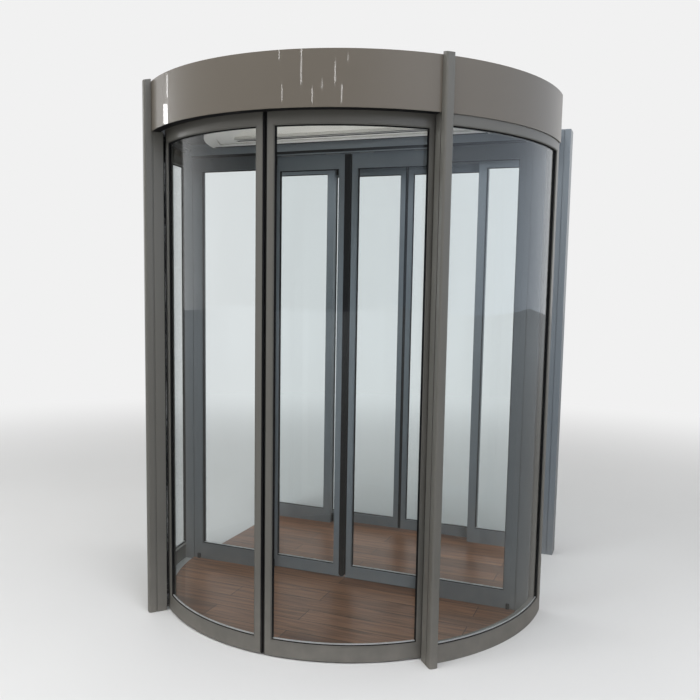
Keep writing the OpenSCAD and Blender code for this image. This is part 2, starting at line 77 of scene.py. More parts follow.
camera_data = bpy.data.cameras.new("photo_camera")
camera_data.sensor_width = sensor_side
camera_data.lens = sensor_side * focal_pixels / picture_side
camera_data.shift_x = (picture_side / 2 - lens_centre_x) / picture_side
camera_data.shift_y = (lens_centre_y - picture_side / 2) / picture_side
camera = bpy.data.objects.new("photo_camera", camera_data)
turned = Matrix((right, up, -ahead)).transposed().to_4x4()
camera.matrix_world = Matrix.Translation(view_place) @ turned
bpy.context.scene.collection.objects.link(camera)
bpy.context.scene.camera = camera
bpy.context.scene.view_settings.view_transform = "Standard"
print("camera lens", round(camera_data.lens, 2), "mm")

# %% [markdown]
# ## Helpers for materials
#
# A finish is a small network of shader nodes. These helpers keep the networks
# short: one adds a node and fills its sockets, one does a sum, one mixes two
# colours, one starts a node group with named inputs and outputs, and one starts a
# material.

# %% Node helpers
def add_node(tree, kind, fill=None, **settings):
    """Adds a node, sets its options, and fills its sockets with values or other sockets."""
    made = tree.nodes.new(kind)
    for name, value in settings.items():
        setattr(made, name, value)
    for socket, source in (fill or {}).items():
        target = made.inputs[socket]
        if isinstance(source, bpy.types.NodeSocket):
            tree.links.new(source, target)
        else:
            target.default_value = source
    return made


def sum_of(tree, operation, *parts):
    """The result of a Math node over the given values or sockets."""
    return add_node(tree, "ShaderNodeMath", dict(enumerate(parts)), operation=operation).outputs[0]


def mixed_colour(tree, share, first, second):
    """A colour that goes from first to second as share goes from 0 to 1."""
    mix = add_node(tree, "ShaderNodeMix", {0: share, 6: first, 7: second}, data_type="RGBA")
    return mix.outputs[2]


def start_group(name, takes, gives):
    """A node group, with its inputs and outputs given as name and kind."""
    group = bpy.data.node_groups.new(name, "ShaderNodeTree")
    kinds = {"value": "NodeSocketFloat", "colour": "NodeSocketColor", "vector": "NodeSocketVector"}
    for socket, kind in takes.items():
        group.interface.new_socket(socket, in_out="INPUT", socket_type=kinds[kind])
    for socket, kind in gives.items():
        group.interface.new_socket(socket, in_out="OUTPUT", socket_type=kinds[kind])
    group_in = group.nodes.new("NodeGroupInput").outputs
    group_out = group.nodes.new("NodeGroupOutput").inputs
    return group, group_in, group_out


def start_material(name, **settings):
    """A material whose Principled shader gets the given plain settings."""
    material = bpy.data.materials.new(name)
    material.use_nodes = True
    shader = material.node_tree.nodes["Principled BSDF"]
    for socket, value in settings.items():
        shader.inputs[socket.replace("_", " ")].default_value = value
    return material, material.node_tree, shader


print("material helpers ready")

# %% [markdown]
# ## A group for coated metal
#
# Powder coat is never quite even. It has a fine orange-peel skin, a colour that
# drifts a little over a metre, and grey dust that gathers near the floor. One group
# makes all three, and each metal places it with its own amounts.

# %% Coated metal group
coat, coat_in, coat_out = start_group(
    "coated_metal",
    {"Colour": "colour", "Drift": "value", "Peel Scale": "value", "Dust": "value",
     "Roughness": "value"},
    {"Colour": "colour", "Roughness": "value", "Height": "value"},
)
dust_grey = (0.36, 0.33, 0.29, 1)
rough_swing, rough_by_dust = 0.12, 0.4
place = add_node(coat, "ShaderNodeTexCoord").outputs["Object"]
slow = add_node(coat, "ShaderNodeTexNoise",
                {"Vector": place, "Scale": 2.2, "Detail": 3.0}).outputs["Fac"]
peel = add_node(coat, "ShaderNodeTexNoise",
                {"Vector": place, "Scale": coat_in["Peel Scale"], "Detail": 2.0}).outputs["Fac"]
height = add_node(coat, "ShaderNodeSeparateXYZ", {"Vector": place}).outputs["Z"]
near_floor = add_node(coat, "ShaderNodeMapRange",
                      {"Value": height, "From Min": 0.35, "From Max": 0.0}).outputs["Result"]
patches = add_node(coat, "ShaderNodeTexNoise",
                   {"Vector": place, "Scale": 14.0, "Detail": 5.0}).outputs["Fac"]
dust = sum_of(coat, "MULTIPLY", sum_of(coat, "MULTIPLY", near_floor, patches), coat_in["Dust"])
swing = sum_of(coat, "SUBTRACT", slow, 0.5)
drift = sum_of(coat, "MULTIPLY_ADD", swing, coat_in["Drift"], 1.0)
drifted = add_node(coat, "ShaderNodeVectorMath", {0: coat_in["Colour"], "Scale": drift},
                   operation="SCALE").outputs[0]
coat.links.new(mixed_colour(coat, dust, drifted, dust_grey), coat_out["Colour"])
uneven = sum_of(coat, "MULTIPLY_ADD", swing, rough_swing, coat_in["Roughness"])
dusty = sum_of(coat, "MULTIPLY_ADD", dust, rough_by_dust, uneven)
coat.links.new(dusty, coat_out["Roughness"])
coat.links.new(peel, coat_out["Height"])
print("coated metal group has", len(coat.nodes), "nodes")


def coated_metal(name, colour, roughness, drift=0.12, dust=0.5, peel=900.0, bump=0.02, **settings):
    """A metal finish that places the group with its own colour and amounts."""
    material, tree, shader = start_material(name, **settings)
    skin = add_node(tree, "ShaderNodeGroup", node_tree=coat)
    for socket, value in (("Colour", (*colour, 1)), ("Drift", drift), ("Peel Scale", peel),
                          ("Dust", dust), ("Roughness", roughness)):
        skin.inputs[socket].default_value = value
    bumps = add_node(tree, "ShaderNodeBump",
                     {"Height": skin.outputs["Height"], "Strength": bump, "Distance": 0.001})
    tree.links.new(skin.outputs["Colour"], shader.inputs["Base Color"])
    tree.links.new(skin.outputs["Roughness"], shader.inputs["Roughness"])
    tree.links.new(bumps.outputs["Normal"], shader.inputs["Normal"])
    return material


# %% [markdown]
# ## The metals and plastics
#
# The round front has a warm grey coat, and the fascia above it carries a clearer
# gloss, in which the hall lamps draw thin upright streaks. The straight doors have
# the same coat in a cooler grey. A lighter copy of it, as painted light, lies on the
# middle leaves, on the middle header and on the rear door. The ceiling sheet is matt
# cream with painted shade beyond its trim, the track and its rollers are bare metal,
# and the seals and guide blocks are black. The lips at the foot of the panes are
# near white, as a painted highlight.

# %% Metals, ceiling and rubber
fascia_paint = coated_metal("warm_fascia_coat", (0.142, 0.124, 0.100), 0.36,
                            Coat_Weight=0.4, Coat_Roughness=0.03)
warm_paint = coated_metal("warm_grey_coat", (0.132, 0.128, 0.114), 0.38,
                          Coat_Weight=0.3, Coat_Roughness=0.06)
cool_paint = coated_metal("cool_grey_coat", (0.151, 0.167, 0.180), 0.38,
                          Coat_Weight=0.2, Coat_Roughness=0.1)
bare_metal = coated_metal("bare_track_metal", (0.42, 0.42, 0.43), 0.38, drift=0.25, dust=0.3,
                          peel=260.0, bump=0.05, Metallic=1.0)
# near-white lip colour: a painted highlight of the ceiling lamps
painted_highlight_lip = coated_metal("painted_highlight_lip_metal", (0.84, 0.84, 0.83), 0.3, drift=0.1, dust=0.0,
                          peel=300.0, bump=0.02, Metallic=0.2)
# a lighter copy of the cool coat: painted light on the middle leaves and header and the rear door
painted_light_cool_paint = coated_metal("painted_light_cool_coat", (0.215, 0.245, 0.270), 0.38,
                               Coat_Weight=0.2, Coat_Roughness=0.1)
cream_trim = coated_metal("cream_trim_coat", (0.80, 0.78, 0.74), 0.5, drift=0.06, dust=0.0,
                          bump=0.01)
cream_sheet_painted_shade = coated_metal("cream_ceiling_painted_shade", (0.86, 0.83, 0.77), 0.6, drift=0.06, dust=0.0,
                           bump=0.01)
black_rubber = coated_metal("black_rubber", (0.008, 0.008, 0.009), 0.6, drift=0.3, dust=0.12,
                            peel=1400.0, bump=0.08, Specular_IOR_Level=0.2)
print("finishes so far:", [m.name for m in bpy.data.materials])

# %% [markdown]
# ## Ceiling sheet with painted shade around it
#
# The cream tray ends at a round trim. Beyond the trim the same sheet lies in deep
# shade, and that shade is painted into its colour: a mask by the distance from the
# drum's axis darkens it. The upper face is never seen from the lobby and gets the
# same painted shade.

# %% Ceiling sheet
tray_radius = 0.735
sheet_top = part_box("ceiling_panel")[1][2] - 0.001
shade_grey = (0.03, 0.03, 0.03, 1)
tray_tree = cream_sheet_painted_shade.node_tree
sheet_place = add_node(tray_tree, "ShaderNodeTexCoord").outputs["Object"]
flat_place = add_node(tray_tree, "ShaderNodeVectorMath", {0: sheet_place, 1: (1, 1, 0)},
                      operation="MULTIPLY").outputs[0]
from_axis = add_node(tray_tree, "ShaderNodeVectorMath", {0: flat_place},
                     operation="LENGTH").outputs["Value"]
# painted shade: outside the tray and on the upper face the colour turns dark grey
outside = sum_of(tray_tree, "GREATER_THAN", from_axis, tray_radius)
sheet_z = add_node(tray_tree, "ShaderNodeSeparateXYZ", {"Vector": sheet_place}).outputs["Z"]
upper_face = sum_of(tray_tree, "GREATER_THAN", sheet_z, sheet_top)
beyond = sum_of(tray_tree, "MAXIMUM", outside, upper_face)
sheet_skin = tray_tree.nodes["Group"].outputs["Colour"]
tray_tree.links.new(mixed_colour(tray_tree, beyond, sheet_skin, shade_grey),
                    tray_tree.nodes["Principled BSDF"].inputs["Base Color"])
print("dark beyond", tray_radius, "m from the axis and on the upper face")

# %% [markdown]
# ## Glass
#
# The panes are clear toughened glass with a faint blue-green body colour. Real
# panes carry faint wiped marks, so the colour goes down very slightly in patches.
# A lamp's light has to reach what is behind a pane, and a path tracer does that
# badly through solid glass, so for shadow rays the glass is simply clear.

# %% Glass with wiping marks
glass, glass_tree, glass_shader = start_material(
    "pane_glass", Transmission_Weight=1.0, Roughness=0.0, IOR=1.45)
clean_glass, wiped_glass = (0.93, 0.957, 0.962, 1), (0.915, 0.94, 0.945, 1)
let_through = (0.88, 0.92, 0.93, 1)
pane_place = add_node(glass_tree, "ShaderNodeTexCoord").outputs["Object"]
wiped = add_node(glass_tree, "ShaderNodeMapping",
                 {"Vector": pane_place, "Scale": (5.0, 5.0, 1.6)}).outputs[0]
marks = add_node(glass_tree, "ShaderNodeTexNoise",
                 {"Vector": wiped, "Scale": 1.0, "Detail": 4.0}).outputs["Fac"]
wiped_share = add_node(glass_tree, "ShaderNodeMapRange",
                       {"Value": marks, "From Min": 0.45, "From Max": 0.75}).outputs["Result"]
glass_tree.links.new(mixed_colour(glass_tree, wiped_share, clean_glass, wiped_glass),
                     glass_shader.inputs["Base Color"])
for_lamps = add_node(glass_tree, "ShaderNodeBsdfTransparent", {"Color": let_through})
ray_kind = add_node(glass_tree, "ShaderNodeLightPath")
either = add_node(glass_tree, "ShaderNodeMixShader",
                  {0: ray_kind.outputs["Is Shadow Ray"], 1: glass_shader.outputs[0],
                   2: for_lamps.outputs[0]})
glass_tree.links.new(either.outputs[0], glass_tree.nodes["Material Output"].inputs["Surface"])
print("glass shader has", len(glass_tree.nodes), "nodes")

# %% [markdown]
# ## Floor boards
#
# Dark red-brown boards run from side to side, sealed with a gloss that mirrors the
# frames. A brick pattern gives each board its own shade, and a noise stretched along
# the board draws the grain. The joints are a shallow groove in the bump.

# %% Boards
board_long, board_broad = 1.15, 0.118
rough_least, rough_by_grain, grain_deep = 0.22, 0.2, 0.12
boards, boards_tree, boards_shader = start_material("sealed_boards", Specular_IOR_Level=0.3)
board_place = add_node(boards_tree, "ShaderNodeTexCoord").outputs["Object"]
layout = add_node(boards_tree, "ShaderNodeTexBrick",
                  {"Vector": board_place, "Color1": (0.165, 0.077, 0.042, 1),
                   "Color2": (0.287, 0.143, 0.080, 1), "Mortar": (0.012, 0.009, 0.008, 1),
                   "Scale": 1.0, "Mortar Size": 0.0015, "Brick Width": board_long,
                   "Row Height": board_broad},
                  offset=0.37)
grain_place = add_node(boards_tree, "ShaderNodeMapping",
                       {"Vector": board_place, "Scale": (2.2, 34.0, 2.2)}).outputs[0]
grain = add_node(boards_tree, "ShaderNodeTexNoise",
                 {"Vector": grain_place, "Scale": 1.6, "Detail": 6.0,
                  "Distortion": 0.6}).outputs["Fac"]
shade = add_node(boards_tree, "ShaderNodeMapRange",
                 {"Value": grain, "From Min": 0.3, "From Max": 0.7,
                  "To Min": 0.6, "To Max": 1.45}).outputs["Result"]
grained = add_node(boards_tree, "ShaderNodeVectorMath",
                   {0: layout.outputs["Color"], "Scale": shade}, operation="SCALE").outputs[0]
boards_tree.links.new(grained, boards_shader.inputs["Base Color"])
worn = sum_of(boards_tree, "MULTIPLY_ADD", grain, rough_by_grain, rough_least)
boards_tree.links.new(worn, boards_shader.inputs["Roughness"])
joint = sum_of(boards_tree, "SUBTRACT", 1.0, layout.outputs["Fac"])
relief = sum_of(boards_tree, "MULTIPLY_ADD", grain, grain_deep, joint)
board_bump = add_node(boards_tree, "ShaderNodeBump",
                      {"Height": relief, "Strength": 0.4, "Distance": 0.002})
boards_tree.links.new(board_bump.outputs["Normal"], boards_shader.inputs["Normal"])
print("boards", round(board_broad * 1000), "mm wide")

# %% [markdown]
# ## Finishes for the CAD parts
#
# Each CAD part already lies in its place, so it only gets a material. The record
# names a slot for every part, and the slot decides the finish. A few parts differ in
# shade from the rest of their slot, and these are named one by one. The lighter cool
# coat among them is painted light.

# %% Give every CAD part its finish
finish_of_slot = {
    "warm_paint": warm_paint, "cool_paint": cool_paint, "glass": glass, "rubber": black_rubber,
    "steel": bare_metal, "ceiling": cream_sheet_painted_shade, "boards": boards,
}
special = {"fascia_front": fascia_paint, "fascia_sides": fascia_paint, "ceiling_trim": cream_trim,
           # painted light: the lighter cool coat on the middle header and leaves, and on the rear
           # door
           "mid_header": painted_light_cool_paint,
           "mid_leaf_left": painted_light_cool_paint, "mid_leaf_right": painted_light_cool_paint}
for word in ("jambs", "header", "screens", "leaf_left", "leaf_right"):
    special[f"rear_{word}"] = painted_light_cool_paint
for part in frame["record"]["subparts"]:
    shape = frame["nodes"][part["node"]].data
    shape.materials.clear()
    shape.materials.append(special.get(part["node"], finish_of_slot[part["material_slot"]]))

# %% [markdown]
# ## Helpers for small pieces
#
# Seals and trims are long bars, some straight and some bent along the drum. Angles
# are counted from the middle of the front, to the right. Every bar goes into one
# mesh per piece, and the finished piece rides on the body that carries it.

# %% Bars, straight and bent
def on_drum(radius, angle, z):
    """A point on a circle round the drum's axis, its angle in degrees from the front."""
    a = math.radians(angle)
    return Vector((radius * math.sin(a), -radius * math.cos(a), z))


def straight_bar(mesh, low, high):
    """A closed box between two corners."""
    corners = [mesh.verts.new((x, y, z)) for z in (low[2], high[2]) for y in (low[1], high[1])
               for x in (low[0], high[0])]
    for loop in ((0, 2, 3, 1), (4, 5, 7, 6), (0, 1, 5, 4),
                 (2, 6, 7, 3), (0, 4, 6, 2), (1, 3, 7, 5)):
        mesh.faces.new([corners[i] for i in loop])


def bent_bar(mesh, r_in, r_out, z_low, z_high, start, end, step=1.5):
    """A closed bar of oblong section, bent along the drum from one angle to another."""
    count = max(1, math.ceil(abs(end - start) / step))
    rings = []
    for i in range(count + 1):
        angle = start + (end - start) * i / count
        section = ((r_in, z_low), (r_out, z_low), (r_out, z_high), (r_in, z_high))
        rings.append([mesh.verts.new(on_drum(r, angle, z)) for r, z in section])
    for a, b in zip(rings, rings[1:]):
        for k in range(4):
            mesh.faces.new((a[k], a[(k + 1) % 4], b[(k + 1) % 4], b[k]))
    mesh.faces.new(rings[0])
    mesh.faces.new(list(reversed(rings[-1])))


def piece(name, mesh, material, body):
    """Turns the mesh into an object that rides on a body and takes the given finish."""
    bmesh.ops.recalc_face_normals(mesh, faces=mesh.faces)
    data = bpy.data.meshes.new(name)
    mesh.to_mesh(data)
    mesh.free()
    data.materials.append(material)
    made = bpy.data.objects.new(name, data)
    bpy.context.scene.collection.objects.link(made)
    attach(made, body)


print("bar helpers ready")

# %% [markdown]
# ## Where the panes are
#
# The seals follow the panes, so the panes are measured rather than written down
# again. A straight pane gives its two corners. A bent pane gives its radii and its
# first and last angle. Where one part holds a left and a right pane, the side tells
# them apart. The bite is how far a pane's edge lies inside its frame. Small pieces
# lie a hair off the face that they sit on.

# %% Measure the panes
glass_bite, glass_thick = 0.0117, 0.008
hair = 0.0001


def pane_points(node, side):
    """The points of a pane: side is 1 for the right one, -1 for the left one."""
    return [v.co for v in frame["nodes"][node].data.vertices if v.co.x * side > 0]


def straight_pane(node, side):
    """The lowest and highest corner of a straight pane."""
    points = pane_points(node, side)
    return (Vector([min(p[i] for p in points) for i in range(3)]),
            Vector([max(p[i] for p in points) for i in range(3)]))


def bent_pane(node, side):
    """Inner and outer radius, lowest and highest z, first and last angle of a bent pane."""
    points = pane_points(node, side)
    radii = [math.hypot(p.x, p.y) for p in points]
    angles = [math.degrees(math.atan2(p.x, -p.y)) for p in points]
    heights = [p.z for p in points]
    r_out = max(radii)
    return r_out - glass_thick, r_out, min(heights), max(heights), min(angles), max(angles)


print("right bent pane:", [round(v, 4) for v in bent_pane("curved_glass_right", 1)])

# %% [markdown]
# ## Glazing seals and bead lines
#
# A black rubber strip lies between each pane and its frame, on both faces, and shows
# as the thin dark line inside every frame. Just outside it the glazing bead ends in
# a fine half-round edge that catches the light. Both are one profile swept round the
# window. The profile is a list of points, each with its distance outward from the
# window's edge and its height above the face that it lies on.

# %% Profiles swept round a window
seal_profile = ((-0.0034, 0.0), (-0.0034, 0.0020), (-0.0014, 0.0060), (0.0, 0.0060), (0.0, 0.0))
bead_profile = ((0.0003, 0.0), (0.0007, 0.0010), (0.0018, 0.0015), (0.0029, 0.0010), (0.0034, 0.0))
bead_recess, bend_steps = 0.0015, 40


def sweep_round(mesh, at, window, profile, pieces_along):
    """Sweeps a profile round a window; at turns along, up and height into a point."""
    u1, u2, v1, v2 = window
    there = [i / pieces_along for i in range(pieces_along + 1)]
    path = [(f, 0) for f in there] + [(f, 1) for f in reversed(there)]
    rings = [[mesh.verts.new(at(u1 - o + f * (u2 - u1 + 2 * o), v1 - o + g * (v2 - v1 + 2 * o), h))
              for o, h in profile] for f, g in path]
    for a, b in zip(rings, rings[1:] + rings[:1]):
        for k in range(len(profile)):
            n = (k + 1) % len(profile)
            mesh.faces.new((a[k], a[n], b[n], b[k]))


def faces_of(node, side, bent):
    """The inner and outer face of a frame: two radii if it is bent, two y values if straight."""
    points = pane_points(node, side)
    depths = [math.hypot(p.x, p.y) for p in points] if bent else [p.y for p in points]
    return min(depths), max(depths)


def trim_straight(seals, beads, glass_node, frame_node, side):
    """Seals and bead lines on both faces of a straight pane."""
    low, high = straight_pane(glass_node, side)
    near, far = faces_of(frame_node, side, False)
    window = (low.x + glass_bite, high.x - glass_bite, low.z + glass_bite, high.z - glass_bite)
    for glass_y, face_y, out in ((low.y, near + bead_recess, -1), (high.y, far - bead_recess, 1)):
        sweep_round(seals, lambda u, v, h: Vector((u, glass_y + out * h, v)),
                    window, seal_profile, 1)
        sweep_round(beads, lambda u, v, h: Vector((u, face_y + out * h, v)),
                    window, bead_profile, 1)


def trim_bent(seals, beads, glass_node, frame_node, side):
    """Seals and bead lines on both faces of a bent pane."""
    r_in, r_out, z1, z2, a1, a2 = bent_pane(glass_node, side)
    near, far = faces_of(frame_node, side, True)
    bite = math.degrees(glass_bite / r_out)
    per_metre = math.degrees(1 / r_out)
    window = ((a1 + bite) / per_metre, (a2 - bite) / per_metre, z1 + glass_bite, z2 - glass_bite)
    for glass_r, face_r, out in ((r_in, near + bead_recess, -1), (r_out, far - bead_recess, 1)):
        sweep_round(seals, lambda u, v, h: on_drum(glass_r + out * h, u * per_metre, v),
                    window, seal_profile, bend_steps)
        sweep_round(beads, lambda u, v, h: on_drum(face_r + out * h, u * per_metre, v),
                    window, bead_profile, bend_steps)


print("profiles of", len(seal_profile), "and", len(bead_profile), "points")

# %% [markdown]
# ## A seal and a bead line for each pane
#
# Each moving leaf has a piece of seals and a piece of bead lines, which ride with it.
# Those of the fixed panels and screens are gathered into one piece of seals, and one
# piece of bead lines for each coat.

# %% Seals and bead lines on every pane
sides = {"right": 1, "left": -1}
for word, side in sides.items():
    seals, beads = bmesh.new(), bmesh.new()
    trim_bent(seals, beads, f"curved_glass_{word}", f"curved_leaf_{word}", side)
    piece(f"curved_leaf_seal_{word}", seals, black_rubber, f"curved_{word}")
    piece(f"curved_leaf_bead_{word}", beads, warm_paint, f"curved_{word}")
    for door in ("mid", "rear"):
        seals, beads = bmesh.new(), bmesh.new()
        trim_straight(seals, beads, f"{door}_leaf_glass_{word}", f"{door}_leaf_{word}", side)
        piece(f"{door}_leaf_seal_{word}", seals, black_rubber, f"{door}_{word}")
        piece(f"{door}_leaf_bead_{word}", beads, painted_light_cool_paint, f"{door}_{word}")
seals, warm_beads, cool_beads, rear_beads = bmesh.new(), bmesh.new(), bmesh.new(), bmesh.new()
for side in sides.values():
    trim_bent(seals, warm_beads, "side_glass", "side_frames", side)
    trim_straight(seals, cool_beads, "mid_screen_glass", "mid_screens", side)
    trim_straight(seals, rear_beads, "rear_screen_glass", "rear_screens", side)
piece("fixed_pane_seals", seals, black_rubber, "frame")
piece("side_panel_beads", warm_beads, warm_paint, "frame")
piece("mid_screen_beads", cool_beads, cool_paint, "frame")
piece("rear_screen_beads", rear_beads, painted_light_cool_paint, "frame")
print("seals and beads on both faces of every pane")

# %% [markdown]
# ## Lips with a painted highlight at the foot of the panes
#
# Above the seal at the foot of every pane runs a fine lip that sheds water. Its
# near-white colour is a painted highlight of the ceiling lamps, and reads as a bright
# line over the dark one.

# %% Lips
lip_low, lip_high, lip_depth = 0.0044, 0.0062, 0.0016
lip_short = 0.003


def lip_bent(mesh, node, side):
    """Lips on both faces at the foot of a bent pane."""
    r_in, r_out, z1, z2, a1, a2 = bent_pane(node, side)
    bite = math.degrees((glass_bite + lip_short) / r_out)
    foot = z1 + glass_bite
    for r1, r2 in ((r_in - lip_depth, r_in - hair), (r_out + hair, r_out + lip_depth)):
        bent_bar(mesh, r1, r2, foot + lip_low, foot + lip_high, a1 + bite, a2 - bite)


def lip_straight(mesh, node, side):
    """Lips on both faces at the foot of a straight pane."""
    low, high = straight_pane(node, side)
    inset, foot = glass_bite + lip_short, low.z + glass_bite
    for y1, y2 in ((low.y - lip_depth, low.y - hair), (high.y + hair, high.y + lip_depth)):
        straight_bar(mesh, (low.x + inset, y1, foot + lip_low),
                     (high.x - inset, y2, foot + lip_high))


for word, side in sides.items():
    lips = bmesh.new()
    lip_bent(lips, f"curved_glass_{word}", side)
    piece(f"curved_leaf_lip_{word}", lips, painted_highlight_lip, f"curved_{word}")
    for door in ("mid", "rear"):
        lips = bmesh.new()
        lip_straight(lips, f"{door}_leaf_glass_{word}", side)
        piece(f"{door}_leaf_lip_{word}", lips, painted_highlight_lip, f"{door}_{word}")
lips = bmesh.new()
for side in sides.values():
    lip_bent(lips, "side_glass", side)
    lip_straight(lips, "mid_screen_glass", side)
    lip_straight(lips, "rear_screen_glass", side)
piece("fixed_pane_lips", lips, painted_highlight_lip, "frame")
print("lips", round((lip_high - lip_low) * 1000, 1), "mm high")

# %% [markdown]
# ## Rubber strips and painted shade at the gaps
#
# A curved leaf hangs a little above the floor, and a black strip under its bottom
# rail closes that gap and reads as the dark line at its foot. Under the header of
# the middle door a black strip lies in front of the screens, from jamb to jamb, as
# painted shade under the header. Another black strip under the canopy's ring, above
# the curved leaves, is painted shadow under the fascia. Two thin black lines are
# painted shadow in the joints of the ceiling trim.

# %% Sweep, header, canopy and ceiling strips
sweep_half, sweep_low, sweep_high = 0.006, 0.0015, 0.0055
sweep_start, sweep_end = 0.7, 42.4
header_end_gap, header_strip_front, header_strip_back = 0.004, 0.002, 0.062
header_strip_low, header_strip_high = 0.0025, 0.0002
ring_strip_low, ring_strip_inset, ring_half_angle = 0.0016, 0.001, 40.6
joint_lines, joint_broad, joint_low = ((0.020, 0.70), (0.144, 0.50)), 0.019, 0.0006
leaf_middle = sum(faces_of("curved_leaf_right", 1, True)) / 2
for word, side in sides.items():
    sweep = bmesh.new()
    bent_bar(sweep, leaf_middle - sweep_half, leaf_middle + sweep_half, sweep_low, sweep_high,
             side * sweep_start, side * sweep_end)
    piece(f"sweep_strip_{word}", sweep, black_rubber, f"curved_{word}")
# painted shade: a black strip under the middle header, in front of the screens
header_low, header_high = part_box("mid_header")
strip = bmesh.new()
straight_bar(strip, (header_low[0] + header_end_gap, header_low[1] + header_strip_front,
                     header_low[2] - header_strip_low),
             (header_high[0] - header_end_gap, header_low[1] + header_strip_back,
              header_low[2] - header_strip_high))
piece("header_painted_shade_strip", strip, black_rubber, "frame")
# painted shadow: a black strip under the canopy's ring, above the curved leaves
ring_in, ring_out = faces_of("canopy_rings", 1, True)
ring_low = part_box("canopy_rings")[0][2]
under = bmesh.new()
bent_bar(under, ring_in, ring_out - ring_strip_inset, ring_low - ring_strip_low,
         ring_low - hair, -ring_half_angle, ring_half_angle)
piece("canopy_painted_shadow_strip", under, black_rubber, "frame")
# painted shadow: thin black lines in the joints of the ceiling trim
trim_low, trim_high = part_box("ceiling_trim")
joints = bmesh.new()
for from_back, half in joint_lines:
    y = trim_high[1] - from_back
    straight_bar(joints, (-half, y, trim_low[2] - joint_low),
                 (half, y + joint_broad, trim_low[2] - hair))
piece("ceiling_painted_shadow_lines", joints, black_rubber, "frame")
print("sweep strips end", sweep_low * 1000, "mm above the floor")

# %% [markdown]
# ## Stop blocks on the middle screens
#
# A small black block with eased edges sits near the head and near the foot of the
# stile beside each sliding leaf of the middle door. Only the right pair shows in the
# photo, and the left pair is its mirror image.

# %% Stop blocks
screen_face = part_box("mid_screens")[0][1]
block_near, block_far, block_proud, block_ease = 0.4175, 0.4375, 0.006, 0.0015
block_heights = ((0.033, 0.084), (2.129, 2.166))
blocks = bmesh.new()
for side in sides.values():
    across = sorted((side * block_near, side * block_far))
    for foot, head in block_heights:
        straight_bar(blocks, (across[0], screen_face - block_proud, foot),
                     (across[1], screen_face - hair, head))
bmesh.ops.recalc_face_normals(blocks, faces=blocks.faces)
bmesh.ops.bevel(blocks, geom=list(blocks.edges), offset=block_ease, segments=2, affect="EDGES")
piece("screen_stop_blocks", blocks, black_rubber, "frame")
print("stop blocks:", 2 * len(block_heights))

# %% [markdown]
# ## Bristles, bolts and screws
#
# These repeat by the hundred, so a small node tree places them. It takes a mesh of
# bare points, each with the direction that it aims in, and puts a cone on every one:
# three thin sides make a bristle, six make a bolt head, and many make a screw head.

# %% Node tree that puts a cone on every point
cones = bpy.data.node_groups.new("cones_on_points", "GeometryNodeTree")
cones.interface.new_socket("Points", in_out="INPUT", socket_type="NodeSocketGeometry")
for socket, kind in (("Sides", "Int"), ("Foot Radius", "Float"), ("Tip Radius", "Float"),
                     ("Length", "Float"), ("Lean", "Float"), ("Finish", "Material")):
    cones.interface.new_socket(socket, in_out="INPUT", socket_type="NodeSocket" + kind)
cones.interface.new_socket("Shapes", in_out="OUTPUT", socket_type="NodeSocketGeometry")
cones_in = cones.nodes.new("NodeGroupInput").outputs
cones_out = cones.nodes.new("NodeGroupOutput").inputs
one_cone = add_node(cones, "GeometryNodeMeshCone",
                    {"Vertices": cones_in["Sides"], "Radius Bottom": cones_in["Foot Radius"],
                     "Radius Top": cones_in["Tip Radius"], "Depth": cones_in["Length"]})
aim = add_node(cones, "GeometryNodeInputNamedAttribute", {"Name": "aim"}, data_type="FLOAT_VECTOR")
upright = add_node(cones, "FunctionNodeAlignRotationToVector", {"Vector": aim.outputs["Attribute"]})
least = sum_of(cones, "MULTIPLY", cones_in["Lean"], -1.0)
leans = [add_node(cones, "FunctionNodeRandomValue", {2: least, 3: cones_in["Lean"], "Seed": seed},
                  data_type="FLOAT").outputs[1] for seed in (11, 12)]
tipped = add_node(cones, "ShaderNodeCombineXYZ", {"X": leans[0], "Y": leans[1]})
turned_by = add_node(cones, "FunctionNodeRotateRotation",
                     {"Rotation": upright.outputs[0], "Rotate By": tipped.outputs[0]},
                     rotation_space="LOCAL")
placed = add_node(cones, "GeometryNodeInstanceOnPoints",
                  {"Points": cones_in["Points"], "Instance": one_cone.outputs["Mesh"],
                   "Rotation": turned_by.outputs[0]})
real = add_node(cones, "GeometryNodeRealizeInstances", {"Geometry": placed.outputs["Instances"]})
finished = add_node(cones, "GeometryNodeSetMaterial",
                    {"Geometry": real.outputs["Geometry"], "Material": cones_in["Finish"]})
cones.links.new(finished.outputs["Geometry"], cones_out["Shapes"])
print("cone tree has", len(cones.nodes), "nodes")


def cone_piece(name, points, body, slot, finish, **amounts):
    """Cones on points, given as place and aim, turned into a plain mesh that rides on a body."""
    data = bpy.data.meshes.new(name)
    data.from_pydata([tuple(p) for p, _ in points], [], [])
    aims = data.attributes.new("aim", "FLOAT_VECTOR", "POINT")
    for i, (_, direction) in enumerate(points):
        aims.data[i].vector = direction
    made = bpy.data.objects.new(name, data)
    bpy.context.scene.collection.objects.link(made)
    modifier = made.modifiers.new("cones", "NODES")
    modifier.node_group = cones
    named = {item.name: item.identifier for item in cones.interface.items_tree
             if item.in_out == "INPUT"}
    for amount, value in amounts.items():
        modifier[named[amount.replace("_", " ")]] = value
    modifier[named["Finish"]] = finish
    graph = bpy.context.evaluated_depsgraph_get()
    plain = bpy.data.meshes.new_from_object(made.evaluated_get(graph))
    made.modifiers.clear()
    made.data = plain
    plain.name = name
    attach(made, body)
    print(name, "has", len(plain.polygons), "faces on", len(points), "points")


# %% [markdown]
# ## Brush seals
#
# Black bristles along the front upright of each side panel close most of the gap to
# the curved leaf, which runs just inside the panel. The leaf carries bristles of its
# own at its rear edge, which point outward. Each brush is two staggered rows, and
# neither brush touches the other or the frame across the gap. Places along the drum
# are in degrees from the edge of the panel or of the leaf.

